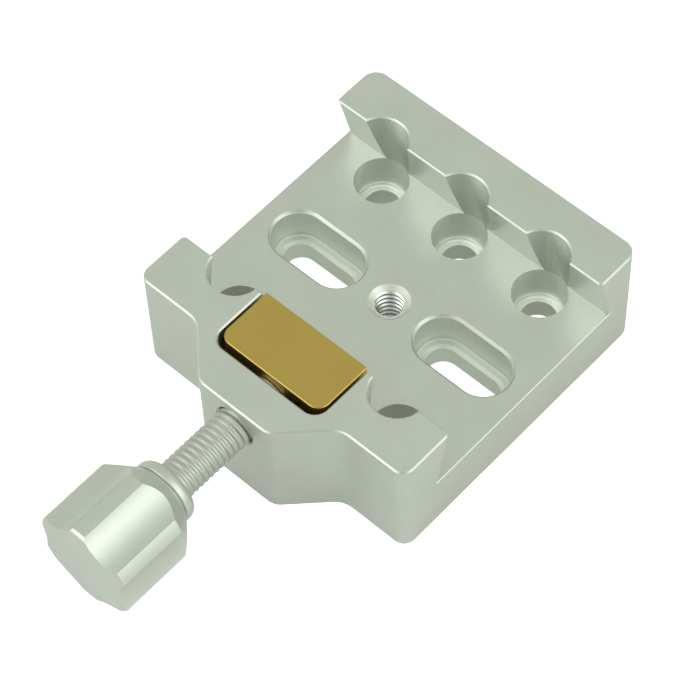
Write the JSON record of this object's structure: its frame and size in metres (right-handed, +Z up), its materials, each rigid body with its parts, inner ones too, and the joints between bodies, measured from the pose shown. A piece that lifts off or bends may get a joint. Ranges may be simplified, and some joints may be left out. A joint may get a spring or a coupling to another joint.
{
  "type": "dovetail saddle",
  "caption": "Flat plate with two undercut jaws forming a dovetail channel, a sliding brass clamp shoe and a fluted knob screw that drives it",
  "frame": {"origin": "in the flat base, on the axis of the centre thread", "axes": "+X along the dovetail channel, +Y across it from the knob towards the fixed jaw, +Z up out of the channel"},
  "size_m": [0.0632, 0.1097, 0.0287],
  "materials": {
    "saddle_body": "bead blasted and clear anodised",
    "clamp_shoe": "satin",
    "knob_screw": "turned, bead blasted and clear anodised"
  },
  "bodies": {
    "saddle": {"saddle_body": "saddle_body"},
    "shoe": {"clamp_shoe": "clamp_shoe"},
    "knob": {"knob_screw": "knob_screw"}
  },
  "joints": [
    {"name": "shoe_slide", "type": "slide", "parent": "saddle", "child": "shoe", "axis": [0, 1, 0], "range_m": [-0.00125, 0.006]},
    {"name": "knob_turn", "type": "hinge", "parent": "shoe", "child": "knob", "pos_m": [0, -0.0559, 0.0181], "axis": [0, 1, 0], "range_deg": [-361, 1729]}
  ],
  "couplings": [
    {"joint": "knob_turn", "follows": "shoe_slide", "rad_per_m": 5026.5}
  ]
}
